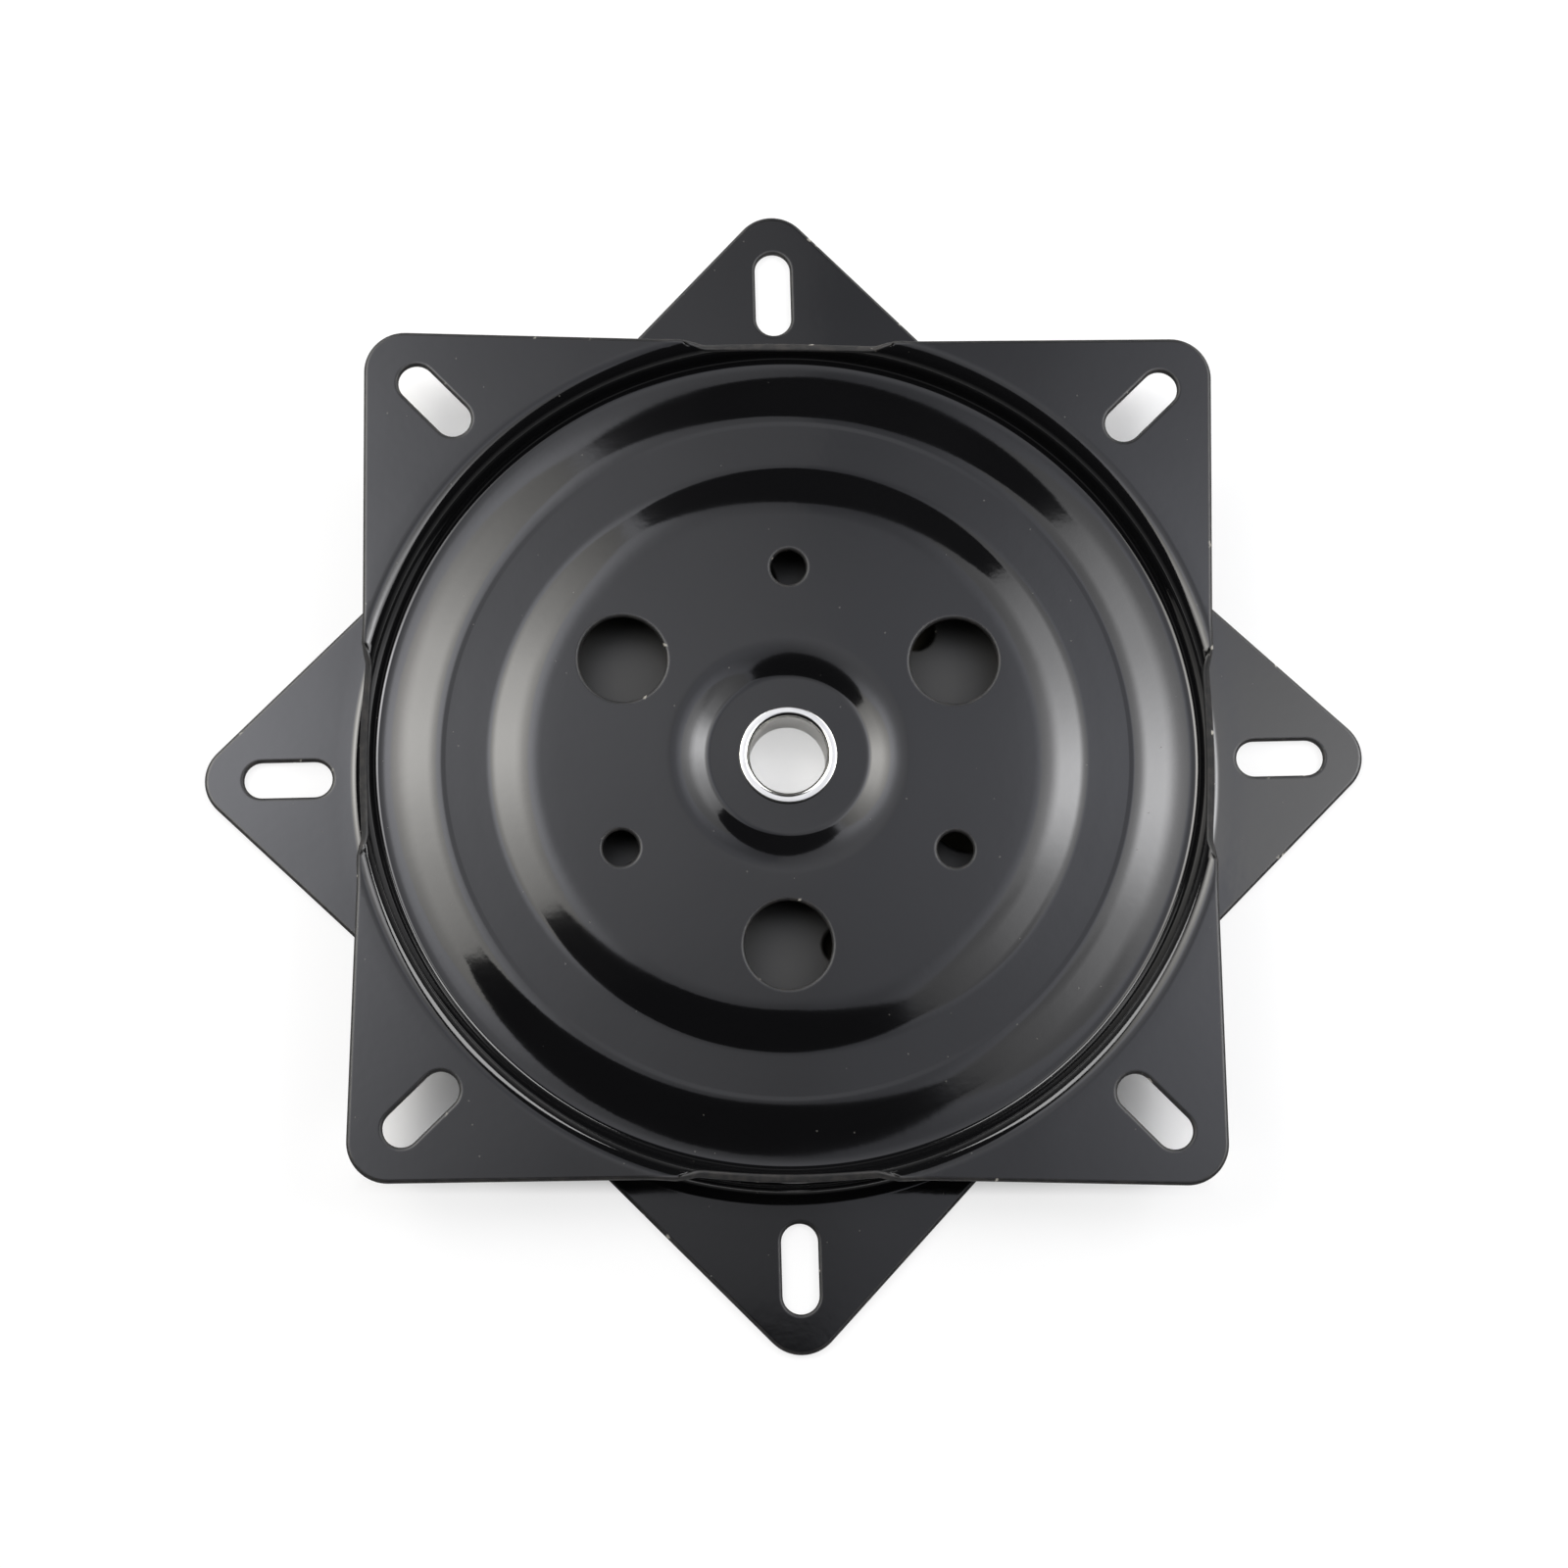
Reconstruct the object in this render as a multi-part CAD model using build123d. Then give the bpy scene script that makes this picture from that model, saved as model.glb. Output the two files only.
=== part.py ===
from build123d import *
import math
import os

# Seat swivel plate: two like steel pressings, one turned over, run on a ring of balls
# and are held together by a hollow rivet. Sizes are in millimetres and degrees.
# The origin is under the middle of the bottom plate, and +Z points to the seat.

# Plate blank
plate_side = 200.8
corner_radius = 9.5
sheet = 2.0
overall_height = 24.5
seat_rest_turn = -1.58

# How far each side draws in towards its middle, where the wall pulls the edge down into the dish
tip_reach = 25.0
tip_draw = 1.3
notch_reach = 20.0
notch_draw = 3.0
middle_draw = 2.4
edge_bend = 4.0
middle_bend = 300.0

# Mounting slots, one in each corner, pointing at the centre
slot_spacing = 167.0
slot_length = 22.0
slot_width = 9.0

# Holes round the centre
hole_circle = 91.0
hole_count = 3
access_hole = 21.2
screw_hole = 9.3

# Balls and cage
ball_diameter = 8.0
ball_count = 16
ball_circle = 153.0
track_clearance = 0.05
cage_width = 13.0
cage_thickness = 3.0
pocket_clearance = 0.2

# Pressed rings, as widths going out from the ball track and in from it
track_inside = 6.5
track_outside = 6.9
inner_step_width = 8.7
outer_step_width = 9.0
groove_width = 4.4
wall_angle = 77.5

# Pressed levels, measured from the ball track, and the dimple from the floor
floor_rise = 1.86
groove_drop = 1.74
dimple_drop = 1.88
dimple_width = 9.1
land_radius = 18.2

# Bends on the outer face of the pressing
land_bend = 15.0
dimple_bend = 49.0
floor_bend = 30.0
track_inner_bend = 12.0
track_outer_bend = 20.0
groove_inner_bend = 33.0
wall_foot_bend = 1.2
panel_bend = 5.3

# Hollow rivet and spacer
rivet_bore = 18.0
rivet_wall = 1.2
rivet_head = 23.0
rivet_head_thickness = 0.9
rivet_lip_radius = 1.1
rivet_rim_chamfer = 0.35
rivet_clearance = 0.08
turn_clearance = 0.05
spacer_margin = 2.5

# Levels and radii that follow from these
track_gap = ball_diameter + 2 * track_clearance
track_depth = (overall_height - track_gap) / 2 - sheet
floor_depth = track_depth - floor_rise
groove_depth = track_depth + groove_drop
land_depth = floor_depth + dimple_drop
track_inner = ball_circle / 2 - track_inside
track_outer = ball_circle / 2 + track_outside
floor_radius = track_inner - inner_step_width
groove_inner = track_outer + outer_step_width
wall_foot = groove_inner + groove_width
wall_top = wall_foot + groove_depth / math.tan(math.radians(wall_angle))
dimple_radius = land_radius + dimple_width
rivet_radius = rivet_bore / 2 + rivet_wall
centre_hole = rivet_radius + rivet_clearance
slot_radius = slot_spacing / math.sqrt(2)
mid_height = overall_height / 2


def blank_outline():
    # One side and the corner after it, as points with a bend at each, set four times round.
    half = plate_side / 2
    side = [
        (half - tip_draw, -tip_reach, edge_bend),
        (half - notch_draw, -notch_reach, edge_bend),
        (half - middle_draw, 0, middle_bend),
        (half - notch_draw, notch_reach, edge_bend),
        (half - tip_draw, tip_reach, edge_bend),
        (half, half, corner_radius),
    ]
    points = [Vector(x, y).rotate(Axis.Z, 90 * k) for k in range(4) for x, y, bend in side]
    bends = [bend for k in range(4) for x, y, bend in side]
    return make_face(FilletPolyline(*points, radius=bends, close=True).edges())


def blank():
    slots = PolarLocations(slot_radius, 4, start_angle=45) * SlotOverall(slot_length, slot_width)
    access = PolarLocations(hole_circle / 2, hole_count, start_angle=30) * Circle(access_hole / 2)
    screws = PolarLocations(hole_circle / 2, hole_count, start_angle=90) * Circle(screw_hole / 2)
    return blank_outline() - slots - access - screws


def pressed_face():
    # Outer face of the pressing, from the centre hole out to past the blank's corners.
    corner_reach = plate_side
    profile = [
        (centre_hole, -land_depth),
        (land_radius, -land_depth),
        (dimple_radius, -floor_depth),
        (floor_radius, -floor_depth),
        (track_inner, -track_depth),
        (track_outer, -track_depth),
        (groove_inner, -groove_depth),
        (wall_foot, -groove_depth),
        (wall_top, 0),
        (corner_reach, 0),
    ]
    bends = [
        land_bend,
        dimple_bend,
        floor_bend,
        track_inner_bend,
        track_outer_bend,
        groove_inner_bend,
        wall_foot_bend,
        panel_bend,
    ]
    line = FilletPolyline(*[(r, 0, z) for r, z in profile], radius=bends)
    return Shell.revolve(Wire(line.edges()), 360, Axis.Z)


def pressed_plate():
    # The blank's edge stays square to the sheet where the wall is drawn, as on a real pressing.
    cutter = extrude(blank(), overall_height, both=True)
    skin = Shell(pressed_face().intersect(cutter).faces())
    return Solid.thicken(skin, sheet)


def hollow_rivet():
    # Head over the top plate's land, rolled end hard against the bottom plate's land.
    bore = rivet_bore / 2
    head = rivet_head / 2
    roll_top = land_depth
    roll_bottom = roll_top - rivet_head_thickness
    head_bottom = overall_height - land_depth + turn_clearance
    head_top = head_bottom + rivet_head_thickness
    section = make_face(
        Polyline(
            (bore, roll_bottom),
            (head, roll_bottom),
            (head, roll_top),
            (rivet_radius, roll_top),
            (rivet_radius, head_bottom),
            (head, head_bottom),
            (head, head_top),
            (bore, head_top),
            close=True,
        )
    )
    ends = section.vertices().group_by(Axis.Y)
    lips = [ends[0].sort_by(Axis.X)[0], ends[-1].sort_by(Axis.X)[0]]
    section = fillet(lips, rivet_lip_radius)
    ends = section.vertices().group_by(Axis.Y)
    rims = [ends[0].sort_by(Axis.X)[-1], ends[-1].sort_by(Axis.X)[-1]]
    section = chamfer(rims, rivet_rim_chamfer)
    return revolve(Plane.XZ * section, Axis.Z)


def spacer_washer():
    bottom = land_depth + sheet
    height = overall_height - 2 * bottom - turn_clearance
    ring = Circle(land_radius - spacer_margin) - Circle(centre_hole)
    return Pos(0, 0, bottom) * extrude(ring, height)


def ball_cage():
    ring = Circle((ball_circle + cage_width) / 2) - Circle((ball_circle - cage_width) / 2)
    band = Pos(0, 0, mid_height - cage_thickness / 2) * extrude(ring, cage_thickness)
    pocket = Sphere(ball_diameter / 2 + pocket_clearance)
    return band - [place * pocket for place in ball_places()]


def ball_places():
    return [Pos(0, 0, mid_height) * place for place in PolarLocations(ball_circle / 2, ball_count)]


plate = pressed_plate()
pieces = {
    "top_plate": Pos(0, 0, overall_height) * Rot(0, 0, seat_rest_turn) * plate,
    "bottom_plate": Rot(0, 0, -45) * Rot(0, 180, 0) * plate,
    "centre_rivet": hollow_rivet(),
    "spacer_washer": spacer_washer(),
    "ball_cage": ball_cage(),
}
for number, place in enumerate(ball_places(), start=1):
    pieces[f"ball_{number:02d}"] = place * Sphere(ball_diameter / 2)

os.makedirs("parts", exist_ok=True)
for name, piece in pieces.items():
    export_step(piece, f"parts/{name}.step")
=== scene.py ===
import math
from bisect import bisect

import bpy
import bmesh
from mathutils import Matrix, Vector
from mathutils.geometry import delaunay_2d_cdt
from mathutils.kdtree import KDTree


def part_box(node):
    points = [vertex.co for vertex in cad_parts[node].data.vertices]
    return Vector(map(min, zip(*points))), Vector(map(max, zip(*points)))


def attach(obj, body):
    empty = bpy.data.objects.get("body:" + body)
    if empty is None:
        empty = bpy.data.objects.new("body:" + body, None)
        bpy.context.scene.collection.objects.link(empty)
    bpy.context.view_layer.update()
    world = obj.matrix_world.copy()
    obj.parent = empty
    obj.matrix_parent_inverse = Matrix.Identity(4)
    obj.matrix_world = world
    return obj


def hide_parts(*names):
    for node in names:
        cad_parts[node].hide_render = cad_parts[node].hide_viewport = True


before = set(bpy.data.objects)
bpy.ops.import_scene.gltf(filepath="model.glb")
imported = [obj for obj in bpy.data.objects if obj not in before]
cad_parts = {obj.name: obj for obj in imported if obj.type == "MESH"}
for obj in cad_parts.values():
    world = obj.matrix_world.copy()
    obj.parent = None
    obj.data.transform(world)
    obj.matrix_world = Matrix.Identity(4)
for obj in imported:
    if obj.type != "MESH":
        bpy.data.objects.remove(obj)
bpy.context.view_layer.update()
scene = bpy.context.scene
mm = 0.001


def linear(hexColour):
    # sRGB hex to the linear colour that shaders take
    parts = [int(hexColour[k:k + 2], 16) / 255 for k in (1, 3, 5)]
    return [c / 12.92 if c <= 0.04045 else ((c + 0.055) / 1.055) ** 2.4 for c in parts] + [1.0]


def addNode(tree, kind, inputs=None, **settings):
    # inputs maps a socket's name or number to a value or to another node's output
    # a Mix node takes its two numbers at 2 and 3, and its two colours at 6 and 7
    node = tree.nodes.new(kind)
    for key, value in settings.items():
        setattr(node, key, value)
    for key, value in (inputs or {}).items():
        if isinstance(value, bpy.types.NodeSocket):
            tree.links.new(value, node.inputs[key])
        else:
            node.inputs[key].default_value = value
    return node


def newTree(name, inputs):
    # a Geometry Nodes tree with its named inputs, and the identifier of each
    tree = bpy.data.node_groups.new(name, "GeometryNodeTree")
    tree.interface.new_socket("Geometry", in_out="OUTPUT", socket_type="NodeSocketGeometry")
    sockets = {}
    for title, kind in inputs.items():
        socket = tree.interface.new_socket(title, in_out="INPUT", socket_type="NodeSocket" + kind)
        sockets[title] = socket.identifier
    return tree, sockets


def newObject(name, data):
    piece = bpy.data.objects.new(name, data)
    scene.collection.objects.link(piece)
    return piece


def applyTree(piece, name, tree, sockets, values):
    # the tree as a modifier, with each input set by its identifier
    maker = piece.modifiers.new(name, "NODES")
    maker.node_group = tree
    for title, value in values.items():
        maker[sockets[title]] = value


def bakeModifiers(piece):
    # the evaluated result becomes a plain mesh and the modifiers go
    bpy.context.view_layer.update()
    graph = bpy.context.evaluated_depsgraph_get()
    finished = piece.evaluated_get(graph)
    mesh = bpy.data.meshes.new_from_object(finished, preserve_all_data_layers=True, depsgraph=graph)
    mesh.name = piece.name
    piece.modifiers.clear()
    piece.data = mesh
    return piece


# camera, set to the photograph's own place over the plates

cameraSetup = dict(
    location=(-22.3, -161.0, 821.4),  # mm
    turn=(10.86, -1.53, 0.05),  # degrees
    focal=3583,  # in pixels of the frame
    frameWidth=1600,
    sensor=36.0,
    clip=(0.05, 50.0),  # metres
    restTurn=-1.63,  # the photograph's axes, from the ones through the bottom plate's corners
)


def makeCamera(c):
    data = bpy.data.cameras.new("photoCamera")
    data.sensor_width = c["sensor"]
    data.lens = c["focal"] / c["frameWidth"] * c["sensor"]
    data.clip_start, data.clip_end = c["clip"]
    camera = newObject("photoCamera", data)
    restTurn = math.radians(c["restTurn"])
    camera.location = Matrix.Rotation(restTurn, 4, "Z") @ (Vector(c["location"]) * mm)
    tilt = [math.radians(a) for a in c["turn"]]
    camera.rotation_euler = (tilt[0], tilt[1], tilt[2] + restTurn)
    scene.camera = camera


makeCamera(cameraSetup)
print("camera set")


# materials: a band is the part of a noise's 0 to 1 over which its effect goes from least to most

def patternScale(size):
    # a texture's scale for a pattern of this size in mm
    return 1 / (size * mm)


def newMaterial(name):
    material = bpy.data.materials.new(name)
    material.use_nodes = True
    material.node_tree.nodes.clear()
    return material, material.node_tree


enamel = dict(
    colour="#0c0c0d", thinColour="#24211f", dustColour="#77756e",
    insideColour="#1a1915", chipColour="#a9a59b",
    ior=1.6, roughness=(0.055, 0.11), insideRoughness=0.42, chipRoughness=0.5,
    edgeRoughness=0.7, dustRoughness=0.9,  # added where there is an edge or dust
    peelSize=2.4, peelDepth=0.006,  # orange peel, mm
    poolSize=30.0, poolDepth=0.1, poolBand=(0.3, 0.7),  # slow unevenness of the film, mm
    breakBand=(0.45, 0.65),  # breaks in the thin film along the edges
    speckSpacing=5.5, speckSize=0.22, dustShare=0.22,  # settled dust, mm, and how well it covers
    chipSize=3.5, chipBand=(0.7, 0.73),  # knocks along the edges, mm
)


def makeBlackEnamel(e):
    # black stoved enamel on pressed steel, dipped and baked: deep gloss with a faint orange peel,
    # slow unevenness where the film pooled, thinner film at the edges and a little settled dust
    material, tree = newMaterial("blackStovedEnamel")
    place = addNode(tree, "ShaderNodeTexCoord").outputs["Object"]
    pool = addNode(tree, "ShaderNodeTexNoise", {
        "Vector": place, "Scale": patternScale(e["poolSize"]), "Detail": 1.0}).outputs[0]
    peel = addNode(tree, "ShaderNodeTexNoise", {
        "Vector": place, "Scale": patternScale(e["peelSize"]), "Detail": 2.0}).outputs[0]
    slow = addNode(tree, "ShaderNodeBump", {"Height": pool, "Distance": e["poolDepth"] * mm}).outputs[0]
    fine = addNode(tree, "ShaderNodeBump", {
        "Height": peel, "Distance": e["peelDepth"] * mm, "Normal": slow}).outputs[0]
    gloss = addNode(tree, "ShaderNodeMapRange", {
        "Value": pool, "From Min": e["poolBand"][0], "From Max": e["poolBand"][1],
        "To Min": e["roughness"][0], "To Max": e["roughness"][1]}).outputs[0]
    # thin film along cut edges, broken up so that it doesn't run all the way
    edge = addNode(tree, "ShaderNodeAttribute", attribute_name="edge").outputs["Fac"]
    breaks = addNode(tree, "ShaderNodeMapRange", {
        "Value": peel, "From Min": e["breakBand"][0], "From Max": e["breakBand"][1]}).outputs[0]
    thin = addNode(tree, "ShaderNodeMath", {0: edge, 1: breaks}, operation="MULTIPLY").outputs[0]
    colour = addNode(tree, "ShaderNodeMix", {
        "Factor": thin, 6: linear(e["colour"]), 7: linear(e["thinColour"])}, data_type="RGBA").outputs[2]
    # dust specks, only where a face looks up
    speck = addNode(tree, "ShaderNodeTexVoronoi", {
        "Vector": place, "Scale": patternScale(e["speckSpacing"])}).outputs["Distance"]
    speck = addNode(tree, "ShaderNodeMath", {
        0: speck, 1: e["speckSize"] / e["speckSpacing"]}, operation="LESS_THAN").outputs[0]
    facing = addNode(tree, "ShaderNodeNewGeometry").outputs["Normal"]
    up = addNode(tree, "ShaderNodeSeparateXYZ", {0: facing}).outputs["Z"]
    dust = addNode(tree, "ShaderNodeMath", {0: speck, 1: up}, operation="MULTIPLY", use_clamp=True).outputs[0]
    dust = addNode(tree, "ShaderNodeMath", {0: dust, 1: e["dustShare"]}, operation="MULTIPLY").outputs[0]
    colour = addNode(tree, "ShaderNodeMix", {
        "Factor": dust, 6: colour, 7: linear(e["dustColour"])}, data_type="RGBA").outputs[2]
    rough = addNode(tree, "ShaderNodeMath", {
        0: dust, 1: e["dustRoughness"], 2: gloss}, operation="MULTIPLY_ADD").outputs[0]
    rough = addNode(tree, "ShaderNodeMath", {
        0: edge, 1: e["edgeRoughness"], 2: rough}, operation="MULTIPLY_ADD").outputs[0]
    # inside the dish the coat is thin, dry and a little greasy
    shelter = addNode(tree, "ShaderNodeAttribute", attribute_name="shelter").outputs["Fac"]
    colour = addNode(tree, "ShaderNodeMix", {
        "Factor": shelter, 6: colour, 7: linear(e["insideColour"])}, data_type="RGBA").outputs[2]
    rough = addNode(tree, "ShaderNodeMix", {
        "Factor": shelter, 2: rough, 3: e["insideRoughness"]}).outputs[0]
    # a few knocks down to the primer along the edges
    knock = addNode(tree, "ShaderNodeTexNoise", {
        "Vector": place, "Scale": patternScale(e["chipSize"]), "Detail": 2.0}).outputs[0]
    knock = addNode(tree, "ShaderNodeMapRange", {
        "Value": knock, "From Min": e["chipBand"][0], "From Max": e["chipBand"][1]}).outputs[0]
    chip = addNode(tree, "ShaderNodeMath", {0: knock, 1: edge}, operation="MULTIPLY").outputs[0]
    colour = addNode(tree, "ShaderNodeMix", {
        "Factor": chip, 6: colour, 7: linear(e["chipColour"])}, data_type="RGBA").outputs[2]
    rough = addNode(tree, "ShaderNodeMix", {"Factor": chip, 2: rough, 3: e["chipRoughness"]}).outputs[0]
    shader = addNode(tree, "ShaderNodeBsdfPrincipled", {
        "Base Color": colour, "Roughness": rough, "IOR": e["ior"], "Normal": fine})
    addNode(tree, "ShaderNodeOutputMaterial", {"Surface": shader.outputs["BSDF"]})
    return material


zincPlate = dict(
    dullColour="#e4e3df", brightColour="#f3f2ef", roughness=(0.15, 0.21),
    grainSize=3.5, grainDepth=0.003, grainBand=(0.3, 0.7),  # mm
)


def makeZinc(z):
    # bright zinc plate on a rolled steel rivet: white metal, a little soft, with cloudy grain
    material, tree = newMaterial("brightZincPlate")
    place = addNode(tree, "ShaderNodeTexCoord").outputs["Object"]
    grain = addNode(tree, "ShaderNodeTexNoise", {
        "Vector": place, "Scale": patternScale(z["grainSize"]), "Detail": 2.0}).outputs[0]
    rough = addNode(tree, "ShaderNodeMapRange", {
        "Value": grain, "From Min": z["grainBand"][0], "From Max": z["grainBand"][1],
        "To Min": z["roughness"][0], "To Max": z["roughness"][1]}).outputs[0]
    dull, bright = linear(z["dullColour"]), linear(z["brightColour"])
    colour = addNode(tree, "ShaderNodeMix", {
        "Factor": grain, 6: dull, 7: bright}, data_type="RGBA").outputs[2]
    bump = addNode(tree, "ShaderNodeBump", {"Height": grain, "Distance": z["grainDepth"] * mm}).outputs[0]
    shader = addNode(tree, "ShaderNodeBsdfPrincipled", {
        "Base Color": colour, "Metallic": 1.0, "Roughness": rough, "Normal": bump})
    addNode(tree, "ShaderNodeOutputMaterial", {"Surface": shader.outputs["BSDF"]})
    return material


mouldedNylon = dict(
    greasyColour="#c9bf9f", dryColour="#e4dfd0", ior=1.53, roughness=(0.28, 0.5),
    cloudSize=7.0, cloudBand=(0.35, 0.65),  # clouds of grease, mm
    skinSize=0.7, skinDepth=0.02,  # unevenness of the moulded skin, mm
)


def makeNylon(n):
    # natural moulded nylon with a film of grease: creamy, waxy, cloudy where the grease lies
    material, tree = newMaterial("naturalNylon")
    place = addNode(tree, "ShaderNodeTexCoord").outputs["Object"]
    cloud = addNode(tree, "ShaderNodeTexNoise", {
        "Vector": place, "Scale": patternScale(n["cloudSize"]), "Detail": 3.0}).outputs[0]
    skin = addNode(tree, "ShaderNodeTexNoise", {
        "Vector": place, "Scale": patternScale(n["skinSize"]), "Detail": 1.0}).outputs[0]
    greasy, dry = linear(n["greasyColour"]), linear(n["dryColour"])
    colour = addNode(tree, "ShaderNodeMix", {"Factor": cloud, 6: greasy, 7: dry}, data_type="RGBA").outputs[2]
    rough = addNode(tree, "ShaderNodeMapRange", {
        "Value": cloud, "From Min": n["cloudBand"][0], "From Max": n["cloudBand"][1],
        "To Min": n["roughness"][0], "To Max": n["roughness"][1]}).outputs[0]
    bump = addNode(tree, "ShaderNodeBump", {"Height": skin, "Distance": n["skinDepth"] * mm}).outputs[0]
    shader = addNode(tree, "ShaderNodeBsdfPrincipled", {
        "Base Color": colour, "Roughness": rough, "IOR": n["ior"], "Normal": bump})
    addNode(tree, "ShaderNodeOutputMaterial", {"Surface": shader.outputs["BSDF"]})
    return material


lappedSteel = dict(
    dullColour="#bdbcb8", brightColour="#cfcfd2", roughness=(0.05, 0.2),
    filmSize=3.0, filmBand=(0.35, 0.65),  # film of grease, mm
)


def makeBallSteel(b):
    # hardened chrome steel, lapped: a mirror with faint clouds of grease
    material, tree = newMaterial("lappedBallSteel")
    place = addNode(tree, "ShaderNodeTexCoord").outputs["Object"]
    film = addNode(tree, "ShaderNodeTexNoise", {
        "Vector": place, "Scale": patternScale(b["filmSize"]), "Detail": 2.0}).outputs[0]
    rough = addNode(tree, "ShaderNodeMapRange", {
        "Value": film, "From Min": b["filmBand"][0], "From Max": b["filmBand"][1],
        "To Min": b["roughness"][0], "To Max": b["roughness"][1]}).outputs[0]
    dull, bright = linear(b["dullColour"]), linear(b["brightColour"])
    colour = addNode(tree, "ShaderNodeMix", {"Factor": film, 6: dull, 7: bright}, data_type="RGBA").outputs[2]
    shader = addNode(tree, "ShaderNodeBsdfPrincipled", {
        "Base Color": colour, "Metallic": 1.0, "Roughness": rough})
    addNode(tree, "ShaderNodeOutputMaterial", {"Surface": shader.outputs["BSDF"]})
    return material


blackEnamel = makeBlackEnamel(enamel)
brightZinc = makeZinc(zincPlate)
nylon = makeNylon(mouldedNylon)
ballSteel = makeBallSteel(lappedSteel)
print("materials made")


# outlines: closed loops of points with a bend at each corner

def arcPoints(centre, radius, start, end, step):
    count = max(3, int(abs(math.radians(end - start)) * radius / step) + 1)
    angles = [math.radians(start + (end - start) * k / count) for k in range(count)]
    return [(centre[0] + radius * math.cos(a), centre[1] + radius * math.sin(a)) for a in angles]


def turned(points, degrees):
    c, s = math.cos(math.radians(degrees)), math.sin(math.radians(degrees))
    return [(x * c - y * s, x * s + y * c) for x, y in points]


def roundedLoop(corners, step):
    loop = []
    for k, (x, y, bend) in enumerate(corners):
        here = Vector((x, y))
        back = (Vector(corners[k - 1][:2]) - here).normalized()
        ahead = (Vector(corners[(k + 1) % len(corners)][:2]) - here).normalized()
        turn = math.pi - back.angle(ahead)
        cut = bend * math.tan(turn / 2)
        centre = here + (back + ahead).normalized() * math.hypot(bend, cut)
        spoke = here + back * cut - centre
        way = math.copysign(1, ahead.cross(back))
        pieces = max(2, int(bend * turn / step) + 1)
        for i in range(pieces + 1):
            point = centre + Matrix.Rotation(way * turn * i / pieces, 2) @ spoke
            loop.append((point.x, point.y))
    return loop


def divided(loop, step):
    points = []
    for k, (x, y) in enumerate(loop):
        nextX, nextY = loop[(k + 1) % len(loop)]
        pieces = max(1, math.ceil(math.hypot(nextX - x, nextY - y) / step))
        points += [(x + (nextX - x) * i / pieces, y + (nextY - y) * i / pieces) for i in range(pieces)]
    return points


def insetLoop(loop, room):
    # moves a loop to its left, which is inwards for one that runs anticlockwise
    moved = []
    for k, (x, y) in enumerate(loop):
        nextX, nextY = loop[(k + 1) % len(loop)]
        dx, dy = nextX - loop[k - 1][0], nextY - loop[k - 1][1]
        size = math.hypot(dx, dy)
        moved.append((x - dy / size * room, y + dx / size * room))
    return moved


# the pressed plates: a flat blank with its slots and holes, drawn to a ring profile

wallFoot, wallAngle, grooveDepth = 96.8, 77.5, 7.94
wallTop = wallFoot + grooveDepth / math.tan(math.radians(wallAngle))
slotSpacing = 167.0  # between the middles of the slots on one side
seatRestTurn, baseRestTurn = -1.58, -45.0  # each plate about the axis, degrees
plate = dict(
    side=200.8, cornerRadius=9.5, sheet=2.0,
    # along half a side: reach from its middle, draw in from the square, bend
    tip=(25.0, 1.3, 4.0), notch=(20.0, 3.0, 4.0), middle=(0.0, 2.4, 300.0),
    slotReach=slotSpacing / math.sqrt(2), slotLength=20.9, slotWidth=8.6, slotAngles=(45, 135, 225, 315),
    centreHole=10.28, accessHole=10.3, screwHole=4.25,  # radii
    holeReach=45.5, accessAngles=(30, 150, 270), screwTurn=60,  # a screw hole follows each access hole
    # corners of the ring profile going out: radius, depth under the panel, bend radius
    profile=[
        (19.6, 6.22, 5.5),
        (25.8, 4.34, 24.0),
        (61.3, 4.34, 30.0),
        (70.0, 6.2, 12.0),
        (80.5, 6.2, 4.0),  # a fine line left by the die
        (81.5, 6.13, 4.0),
        (83.4, 6.2, 20.0),
        (92.4, grooveDepth, 33.0),
        (wallFoot, grooveDepth, 2.4),
        (wallTop, 0.0, 6.2),
    ],
    edgeRound=0.6, edgeSteps=3, edgeAngle=50.0,  # the cut edges are rounded, which turn by more than this
    shelterReach=92.0, shelterFacing=-0.3,  # the dish's inside, by radius and by how far it looks down
    ringPoints=400, innerReach=40.0,  # points round a ring, and half as many inside this reach
    flatStep=3.6, bendAngle=2.0,  # rows across the sheet, mm on the flats and degrees in the bends
    steepTurn=45.0, steepAngle=3.0,  # a bend past this turn has its rows this far apart
    boundaryStep=1.0, slotStep=1.4, holeStep=0.8, holeDivision=7,  # points along the cut edges
    edgeRoom=1.0, ringRoom=1.5,  # a cut edge to the row that follows it, and to the rings
    cornerSlack=1.02, reachShare=0.8,  # the test for metal and the rings go a little past the corners
    mergeGap=1e-5,  # points nearer than this become one
)


def profileBends(p):
    # each bend as its start along the sheet, signed radius, angle before, angle after and straight run after
    corners = [(r, -depth) for r, depth, bend in p["profile"]]
    corners = [(0.0, corners[0][1])] + corners + [(2 * p["side"], 0.0)]
    angles = [math.atan2(b[1] - a[1], b[0] - a[0]) for a, b in zip(corners, corners[1:])]
    turns = [after - before for before, after in zip(angles, angles[1:])]
    cuts = [bend * math.tan(abs(turn) / 2) for turn, (r, depth, bend) in zip(turns, p["profile"])] + [0.0]
    start = corners[1][0] - cuts[0]
    bends = []
    for k, (r, depth, bend) in enumerate(p["profile"]):
        run = math.dist(corners[k + 1], corners[k + 2]) - cuts[k] - cuts[k + 1]
        bends.append((start, math.copysign(bend, turns[k]), angles[k], angles[k + 1], run))
        start += bend * abs(turns[k]) + run
    return bends


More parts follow.
